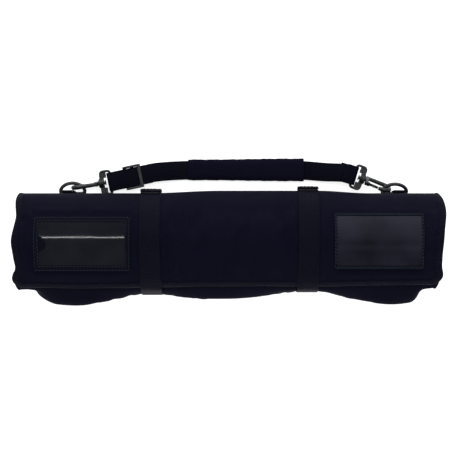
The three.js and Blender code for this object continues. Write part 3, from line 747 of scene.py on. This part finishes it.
def rounded_loop(half, corner, count=36):
    """A rectangle's outline with rounded corners, count points to a side; half is its half size."""
    t = np.arange(4 * count) / count
    square = np.stack([np.interp(t, range(5), v) for v in ((1, -1, -1, 1, 1), (1, 1, -1, -1, 1))], -1)
    over = np.maximum(np.abs(square) * half - (half - corner), 0)
    reach = np.maximum(np.linalg.norm(over, axis=-1), 1e-9)
    pull = np.where((over > 0).all(-1), corner / reach, 1)[:, None]
    return np.sign(square) * (np.minimum(np.abs(square) * half, half - corner) + over * np.minimum(pull, 1))


def border(name, xs, arcs, lift, thickness, width, material):
    """A flat frame of the given width on the roll, slightly crowned."""
    half = np.array([np.ptp(xs), np.ptp(arcs)]) / 2
    middle = np.array([np.mean(xs), np.mean(arcs)])
    rings = np.array([rounded_loop(half - inset, corner) + middle
                      for inset, corner in ((0, 3 * MM), (0.5 * width, 3 * MM), (width, 1.2 * MM))])
    crown = lift + thickness + np.array([0.0, 0.45 * MM, 0.0])[:, None]
    outer = on_roll(rings[..., 0], rings[..., 1], -crown)
    inner = on_roll(rings[..., 0], rings[..., 1], -lift)
    return thick_sheet(name, outer, inner, material, rings, wrap=True)


def stitch_loop(xs, arcs, inset, lift):
    x0, x1, a0, a1 = xs[0] + inset, xs[1] - inset, arcs[0] + inset, arcs[1] - inset
    corners = np.array([(x0, a0), (x1, a0), (x1, a1), (x0, a1), (x0, a0)])
    line = even(corners, 2 * MM)
    return on_roll(line[:, 0], line[:, 1], -lift), roll_normal(line[:, 0], line[:, 1])


def make_windows():
    runs = []
    for side, width, sewn, pane, notch, slot in (("left", 6 * MM, 2.5 * MM, CLEAR, 9 * MM, "clear_vinyl"),
                                                 ("right", 3 * MM, 1.2 * MM, FROSTED, 0, "frosted_vinyl")):
        xs, arcs = window_place(side)
        back = patch(f"card_pocket_back_{side}", xs, arcs, 0.25 * MM, 0.6 * MM, EDGE_CLOTH)
        place(back, "bag", "window_border", f"window_backing_{side}")
        film_xs = (xs[0] + (width if notch else sewn), xs[1] - sewn)
        film_arcs = (arcs[0] + sewn, arcs[1] - sewn)
        window = patch(f"card_window_{side}", film_xs, film_arcs, 1.2 * MM, 0.5 * MM, pane, notch)
        place(window, "bag", slot, f"window_pane_{side}")
        edge = border(f"card_window_border_{side}", xs, arcs, 1.9 * MM, 0.6 * MM, width, EDGE_CLOTH)
        place(edge, "bag", "window_border", f"window_frame_{side}")
        # Stitch rows along each border's outer and inner edge, in pale thread whose colour is painted
        # highlight on those edges.
        for inset in (0.8 * MM, width - 0.8 * MM):
            runs.append(stitch_loop(xs, arcs, inset, 2.75 * MM))
    place(dashes("window_stitching_painted_highlight", runs, THREAD_PAINTED_HIGHLIGHT, radius=0.32 * MM), "bag", "webbing")


# ---- compression straps


def convex(points):
    """The convex outline of (y, z) points, anticlockwise."""
    points = sorted(map(tuple, points))

    def chain(run):
        out = []
        for p in run:
            while len(out) > 1 and ((out[-1][0] - out[-2][0]) * (p[1] - out[-2][1])
                                    <= (out[-1][1] - out[-2][1]) * (p[0] - out[-2][0])):
                out.pop()
            out.append(p)
        return out[:-1]

    return np.array(chain(points) + chain(points[::-1]))


def strap_line(x, lift):
    """The closed (y, z) line of a strap's middle, lift above the cloth, anticlockwise from the table."""
    ring = on_roll(x, np.linspace(0, FIRST_LAP + 0.02, 400), 0, wrinkled=False)[:, 1:]
    outline = convex(ring)
    closed = even(np.vstack([outline, outline[:1]]), 2.5 * MM)[:-1]
    tangent = unit(np.roll(closed, -1, 0) - np.roll(closed, 1, 0))
    normal = np.stack([tangent[:, 1], -tangent[:, 0]], -1)
    line = closed + normal * (lift + STRAP_T / 2)
    line[:, 1] = np.maximum(line[:, 1], STRAP_T / 2 + 0.2 * MM)
    for _ in range(3):
        line = 0.5 * line + 0.25 * (np.roll(line, 1, 0) + np.roll(line, -1, 0))
    return line


def tail_line(x, lift, reach, to_z):
    """The part of a strap's line within reach of its furthest +Y, down to to_z."""
    line = strap_line(x, lift)
    start = np.argmin(line[:, 1] + 10 * (line[:, 0] < 0))
    line = np.roll(line, -start, 0)
    return line[(line[:, 0] > line[:, 0].max() - reach) & (line[:, 1] > to_z)]


def in_plane(line, x, sway=0.0):
    """The line in a strap's plane, which leans outward towards +Y."""
    wobble = sway * np.sin(np.linspace(0, 7, len(line)))
    lean = np.sign(x) * 0.012 * line[:, 0]
    return np.stack([x + lean + wobble, line[:, 0], line[:, 1]], -1)


def make_compression_straps():
    runs = []
    band = rounded_rect(STRAP_W, STRAP_T, 0.6 * MM, 3)
    pile_band = rounded_rect(STRAP_W - 4 * MM, 1.2 * MM, 0.5 * MM, 3)
    for side, x in STRAP_X.items():
        loop = in_plane(strap_line(x, 0.35 * MM), x, 0.25 * MM)
        strap = sweep(f"roll_strap_{side}", loop, band, X_AXIS, WEBBING, closed=True)
        place(strap, "bag", "webbing", f"compression_strap_{side}")
        pile_line = in_plane(tail_line(x, 2.2 * MM, 2.6 * MM, 0.018), x)
        pile = sweep(f"strap_pile_{side}", pile_line, pile_band, X_AXIS, PILE)
        place(pile, "bag", "hook_and_loop", f"closure_tape_{side}")
        tail = in_plane(tail_line(x, 3.9 * MM, 3.2 * MM, 0.008), x, 0.2 * MM)
        flap = sweep(f"strap_end_{side}", tail, band, X_AXIS, WEBBING)
        place(flap, "bag", "webbing", f"strap_tail_{side}")
        up = unit(np.stack([0 * tail[:, 0], np.gradient(tail[:, 2]), -np.gradient(tail[:, 1])], -1))
        up = up * np.sign((up * (tail - [x, 0, 0.03])).sum(-1, keepdims=True))
        top = tail + up * STRAP_T / 2
        for edge in (-1, 1):
            runs.append((top + X_AXIS * edge * (STRAP_W / 2 - 2.4 * MM), up))
        for end in (3, -4):
            runs.append((straight(top[end], X_AXIS, STRAP_W / 2 - 3 * MM), up[end]))
    place(dashes("strap_stitching", runs, THREAD), "bag", "webbing")


# ---- rings, hooks and swivels


def make_rings():
    for side, (ring_x, tab_x, tilt) in RINGS.items():
        bow = np.array([0, math.cos(math.radians(tilt)), math.sin(math.radians(tilt))])
        bar = [(u, 0) for u in np.linspace(-12, 12, 9)]
        arch = [(15 * math.cos(a), 2.2 + 10.8 * math.sin(a)) for a in np.linspace(0, math.pi, 25)]
        flat = np.array(bar + arch + bar[:1]) * MM
        path = [ring_x * MM, BAR[1], BAR[2]] + flat[:, :1] * X_AXIS + flat[:, 1:] * bow
        ring = sweep(f"ring_{side}", even(path, 1.6 * MM)[:-1], circle(RING_WIRE), np.cross(X_AXIS, bow),
                     RING_PLASTIC, closed=True)
        place(ring, f"ring_{side}", "ring_plastic", f"d_ring_{side}")
        place(make_tab(side, tab_x * MM), "carry_strap", "webbing", f"ring_tab_{side}")


def make_tab(side, x):
    """Webbing folded round the ring's bar and sewn to itself."""
    foot = np.array([x, BAR[1], BAR[2]])
    rise = SWING[1:] - BAR[1:]
    up = unit([0, *rise])
    top = np.hypot(*rise) - 2 * MM
    radius = RING_WIRE + 0.4 * MM + TAB_T / 2
    ply = 0.75 * MM  # from the tab's middle to the middle of each layer
    leg = [(ply, top), (ply, top * 0.7), (ply, 7.5 * MM)]
    wrap = [(-radius * math.sin(a), -radius * math.cos(a)) for a in np.linspace(-1.9, 1.9, 21)]
    line = np.array(leg + wrap + [(-across, height) for across, height in leg[::-1]])
    path = foot + line[:, :1] * np.cross(X_AXIS, up) + line[:, 1:] * up
    band = rounded_rect(TAB_W, TAB_T, 0.5 * MM, 3)
    return sweep(f"tab_{side}", even(path, 1.2 * MM), band, X_AXIS, WEBBING)


def hook_frame(side):
    """The collar's place, the swivel's axis, and the hook's bend and across directions."""
    swivel, gate = joint(f"hook_swivel_{side}"), joint(f"gate_{side}")
    along, across = unit(swivel["axis"]), unit(gate["axis"])
    return np.array(swivel["pos_m"]), along, np.cross(across, along), across


def make_hook(side):
    at, u, v, w = hook_frame(side)
    bend = [(SHANK + HOOK_R * math.sin(t), HOOK_R * math.cos(t)) for t in np.linspace(0, math.pi, 15)]
    line = np.array([(0, HOOK_R), (7 * MM, HOOK_R * 1.02), (14 * MM, HOOK_R), *bend, (NOSE, -HOOK_R)])
    path = even(catmull(at + line[:, :1] * u + line[:, 1:] * v, 6), 0.9 * MM)
    t = np.linspace(0, 1, len(path))
    width = HOOK_WIRE * (1 + 0.12 * np.sin(np.pi * t)) * (1 - 0.3 * smoothstep(t, 0.96, 1.0))
    bow = sweep("bow", path, circle(1)[None] * width[:, None, None] * [1.1, 0.98], w, PLASTIC)
    collar_path = straight(at - 1.6 * MM * u, v, HOOK_R + 2.4 * MM)
    swell = 1 - 0.35 * np.abs(np.linspace(-1, 1, len(collar_path))) ** 6
    collar_section = rounded_rect(6 * MM, 3.8 * MM, 1.2 * MM)[None] * swell[:, None, None]
    collar = sweep("collar", collar_path, collar_section, w, PLASTIC)
    head = HEAD / MM
    stem = turned("stem", [(head - 1.4, 2.6), (head - 1.1, 3.3), (head - 0.3, 3.3), (head, 2), (-2.6, 2),
                           (-0.4, 3.4), (0.6, 3.0)], at, u, v)
    nose = NOSE / MM
    tip = turned("nose", [(nose - 0.6, 1.4), (nose, 2.3), (nose + 2.4, 2.6), (nose + 4.4, 2.2)],
                 at - HOOK_R * v, u, v)
    place(merge(f"snap_hook_{side}", [bow, collar, stem, tip]), f"hook_{side}", "hard_plastic",
          f"hook_body_{side}")

    pivot = at + 1.5 * MM * u - HOOK_R * v
    run = np.array([(0, 0), (3, 0.35), (7, 0.5), (11, 0.2), (12.4, 0)]) * MM
    leaf_path = even(catmull(pivot + run[:, :1] * u + run[:, 1:] * v, 5), 0.8 * MM)
    leaf = sweep("leaf", leaf_path, rounded_rect(3.4 * MM, 1.9 * MM, 0.8 * MM), w, PLASTIC)
    knuckle = turned("knuckle", [(-2.4, 1.2), (-2.2, 1.6), (2.2, 1.6), (2.4, 1.2)], pivot, w, v, sides=20)
    thumb = turned("thumb", [(5, 0.6), (6, 1.35), (8, 1.35), (9, 0.6)], pivot - 0.9 * MM * v, u, v, sides=16)
    place(merge(f"snap_gate_{side}", [leaf, knuckle, thumb]), f"gate_{side}", "hard_plastic",
          f"hook_gate_{side}")


def level_frame(side):
    """The bail's across and up directions: it lies level on the swivel's axis."""
    at, u, _, _ = hook_frame(side)
    across = unit(np.cross(Z_AXIS, u))
    return at, u, across, np.cross(u, across)


def make_bail(side):
    """The swivel's grooved barrel, the plate behind it and the loop that the webbing goes round."""
    at, u, across, up = level_frame(side)
    outline = rounded_rect(BAIL_NEAR - BAIL_FAR, 2 * BAIL_HALF, BAIL_CORNER, 6)
    outline = np.vstack([outline, outline[:1]]) + [(BAIL_NEAR + BAIL_FAR) / 2, 0]
    path = even(at + outline[:, :1] * u + outline[:, 1:] * across, 1.4 * MM)[:-1]
    parts = [sweep("frame_bar", path, circle(BAIL_WIRE, 16), up, PLASTIC, closed=True)]
    slot_half = 6 * MM  # of the opening in the plate's second row
    cheek = (PLATE_HALF - slot_half) / 2
    aside = slot_half + cheek
    section = rounded_rect(4 * MM, 2.8 * MM, 1.1 * MM)
    for behind, middle, half in ((2, 0, PLATE_HALF), (5.1, aside, cheek), (5.1, -aside, cheek)):
        spot = at + (BAIL_NEAR - behind * MM) * u + middle * across
        parts.append(sweep("plate", straight(spot, across, half), section, u, PLASTIC))
    front, back, ridge = BARREL_FRONT / MM, (BARREL_FRONT - BARREL) / MM, BARREL_R / MM
    profile = [(back, 4.6)]
    for k in range(4):
        start = back + 0.3 + k * 1.55
        groove = ridge - 0.7
        profile += [(start, ridge), (start + 0.9, ridge), (start + 1.1, groove), (start + 1.4, groove)]
    parts.append(turned("barrel", profile + [(front, 4.8)], at, u, across, sides=40))
    place(merge(f"swivel_{side}", parts), "carry_strap", "hard_plastic", f"swivel_bail_{side}")


# ---- carry strap


def bail_bar(side):
    at, u, _, _ = level_frame(side)
    yaw = math.radians(WEB_YAW[side])
    return at + BAIL_FAR * u, -np.array([math.cos(yaw), math.sin(yaw), 0])


def carry_path():
    """The strap's single webbing: under the left bail, over it, through the grip, round the right bail."""

    def along(side, *places):
        """Points behind a bail's bar: (distance, height above the fold's upper layer) in millimetres."""
        bar, away = bail_bar(side)
        return [bar + away * distance * MM + Z_AXIS * (FOLD_R + height * MM) for distance, height in places]

    def fold(side):
        bar, away = bail_bar(side)
        return [bar + FOLD_R * (math.sin(t) * Z_AXIS - math.cos(t) * away)
                for t in np.linspace(-math.pi / 2, math.pi / 2, 9)]

    y, z = SLEEVE_MID[1], SLEEVE_MID[2]
    start, end = SLEEVE_X[0] - 4 * MM, SLEEVE_X[1] + 4 * MM
    drop = LAYER_DROP / MM
    points = along("left", *((d, -drop - 0.3) for d in (50, 36, 22, 8)))
    points += fold("left")
    points += along("left", *((d, -0.2) for d in (6, 16, 26, 36, 49)), (54, -0.7))
    points += [WEB_BENDS["left"], (start, y - 0.6 * MM, z)]
    points += [(x, y, z) for x in np.linspace(start + 22 * MM, end - 22 * MM, 5)]
    points += [(end, y - 1 * MM, z), WEB_BENDS["right"]]
    points += along("right", (9, 0), (4, 0))
    points += fold("right")[::-1]
    points += along("right", *((d, -drop - 0.1 * d) for d in (8, 13, 18)))
    return even(catmull(np.array(points), 8), 1.5 * MM)


def level_across(away):
    """The level direction square to away."""
    return np.stack([-away[..., 1], away[..., 0], 0 * away[..., 0]], -1)


def make_carry_strap():
    path = carry_path()
    left, right = bail_bar("left"), bail_bar("right")
    x = np.clip(path[:, 0], left[0][0], right[0][0])[:, None]
    to_left = smoothstep(x, left[0][0] + 0.036, -0.060)
    to_right = smoothstep(x, 0.060, right[0][0] - 0.006)
    heading = left[1] * (1 - to_left) + X_AXIS * to_left
    heading = heading * (1 - to_right) - right[1] * to_right
    band = rounded_rect(WEB_W, WEB_T, 0.6 * MM, 3)
    strap = sweep("carry_strap_webbing", path, band, unit(level_across(heading)), WEBBING)
    place(strap, "carry_strap", "webbing", "carry_webbing")
    runs = []
    for (bar, away), near, far in ((left, 46, 49.5), (right, 10, 16)):
        box = np.array([(near, -8), (near, 8), (far, 8), (far, -8), (near, -8), (far, 8)]) * MM
        middle = bar + Z_AXIS * (FOLD_R + WEB_T / 2)
        line = even(middle + box[:, :1] * away + box[:, 1:] * level_across(away), 1 * MM)
        runs.append((line, Z_AXIS))
    place(dashes("carry_stitching", runs, THREAD, length=2.2 * MM, pitch=3.1 * MM), "carry_strap", "webbing")


def make_slider():
    """Two rails joined by three bars: the webbing goes under the one nearest the grip and over the others."""
    away = bail_bar("left")[1]
    across = level_across(away)
    middle = centre("strap_slider")
    length, rail = 22 * MM, WEB_W / 2 + 0.35 * MM + 1.3 * MM
    end = length / 2 - 2.2 * MM
    bar_height = 0.8 * MM + 0.35 * MM + 1.1 * MM
    soft = 1 - 0.3 * np.linspace(-1, 1, 13) ** 8
    section = rounded_rect(2.6 * MM, 6.7 * MM, 1.2 * MM)[None] * soft[:, None, None]
    parts = []
    for side in (-1, 1):
        line = straight(middle + across * side * rail, away, length / 2, 13)
        parts.append(sweep("rail", line, section, across, PLASTIC))
    bar_section = rounded_rect(4.4 * MM, 2.2 * MM, 0.9 * MM)
    for t, side in ((-end, -1), (0, -1), (end, 1)):
        line = straight(middle + away * t + side * bar_height * Z_AXIS, across, rail, 17)
        parts.append(sweep("bar", line, bar_section, away, PLASTIC))
    place(merge("slider", parts), "slider", "hard_plastic", "strap_slider")


def make_grip():
    """The padded sleeve: a flat tube that narrows to its left end, creased where it bends."""
    rows, sides = 150, 56
    t = np.linspace(-1, 1, rows)
    x = SLEEVE_MID[0] + t * (SLEEVE_X[1] - SLEEVE_X[0]) / 2
    wide = 12.9 * MM + 1.1 * MM * smoothstep(t, -0.6, 0.7)
    tall = 4.1 * MM + 0.5 * MM * np.cos(t * 2.2)
    crease = 0.13 * MM * np.sin(t * 21 + 0.7) + 0.1 * MM * np.sin(t * 47)
    end_lip = 1 - 0.16 * smoothstep(np.abs(t), 0.94, 1.0)
    ring = circle(1, sides)
    ring = np.sign(ring) * np.abs(ring) ** [0.55, 0.8]

    def tube(size):
        """The ring at each x, scaled by size, as (rows, sides, 3) points."""
        flat = SLEEVE_MID[1:] + ring[None] * size[:, None]
        return np.concatenate([np.broadcast_to(x[:, None, None], (rows, sides, 1)), flat], -1)

    outer = tube(np.stack([wide + crease, (tall + crease * 0.8) * end_lip], -1))
    inner = tube(np.tile([WEB_W / 2 + 0.5 * MM, WEB_T / 2 + 0.7 * MM], (rows, 1)))
    uv = np.stack(np.meshgrid(x, np.arange(sides) * 2 * np.pi / sides * 0.012, indexing="ij"), -1)
    grip = thick_sheet("grip", outer, inner, SLEEVE_CLOTH, uv, wrap=True)
    place(grip, "sleeve", "sleeve_fabric", "grip_sleeve", fill=0.6)
    lines = [outer[4:-4, k] for k in (5, 23)] + [outer[i, 4:25] for i in (6, -7)]
    runs = [(line, Z_AXIS) for line in lines]
    place(dashes("grip_stitching", runs, THREAD, radius=0.35 * MM), "sleeve", "webbing")


# ---- camera, light and floor


def make_stage():
    bpy.ops.mesh.primitive_plane_add(size=12, location=(0, 0, -0.0005))
    floor = bpy.context.object
    floor.name = "floor"
    paper = Material("paper", (0.9, 0.9, 0.9), 0.95, Emission_Color=(1, 1, 1, 1), Emission_Strength=0.85)
    floor.data.materials.append(paper.data)


def add_light(name, spot, size, power):
    """A rectangular lamp aimed at the origin."""
    lamp = bpy.data.lights.new(name, "AREA")
    lamp.shape = "RECTANGLE"
    lamp.size, lamp.size_y = size
    lamp.energy = power
    obj = bpy.data.objects.new(name, lamp)
    bpy.context.scene.collection.objects.link(obj)
    obj.location = spot
    obj.rotation_euler = (-Vector(spot)).to_track_quat("-Z", "Y").to_euler()


def make_lights():
    world = bpy.data.worlds.new("studio")
    world.use_nodes = True
    sky = world.node_tree.nodes["Background"]
    sky.inputs["Color"].default_value = (1, 1, 1, 1)
    sky.inputs["Strength"].default_value = 0.16
    bpy.context.scene.world = world
    add_light("key", (0, 2.1, 1.4), (2.6, 0.8), 42)
    add_light("fill", (0, -2.1, 1.4), (2.6, 0.8), 28)
    add_light("ridge_strip", (0, 0.52, 2.25), (2.4, 0.10), 9)


def make_camera():
    """Straight above the bag, with a view a little wider than the roll."""
    field = 2 * ROLL_HALF * 1.0616
    camera = bpy.data.cameras.new("camera")
    camera.sensor_width = 36
    camera.lens = 90
    obj = bpy.data.objects.new("camera", camera)
    bpy.context.scene.collection.objects.link(obj)
    obj.location = (0.0024, 0.0174, field * camera.lens / camera.sensor_width + 0.04)
    bpy.context.scene.camera = obj


bpy.context.scene.view_settings.view_transform = "Standard"
make_camera()
make_stage()
make_lights()
simulate_wrinkles()
make_roll()
make_bindings()
make_windows()
make_compression_straps()
make_rings()
for hook_side in SIDES:
    make_hook(hook_side)
    make_bail(hook_side)
make_carry_strap()
make_slider()
make_grip()

bpy.context.view_layer.update()
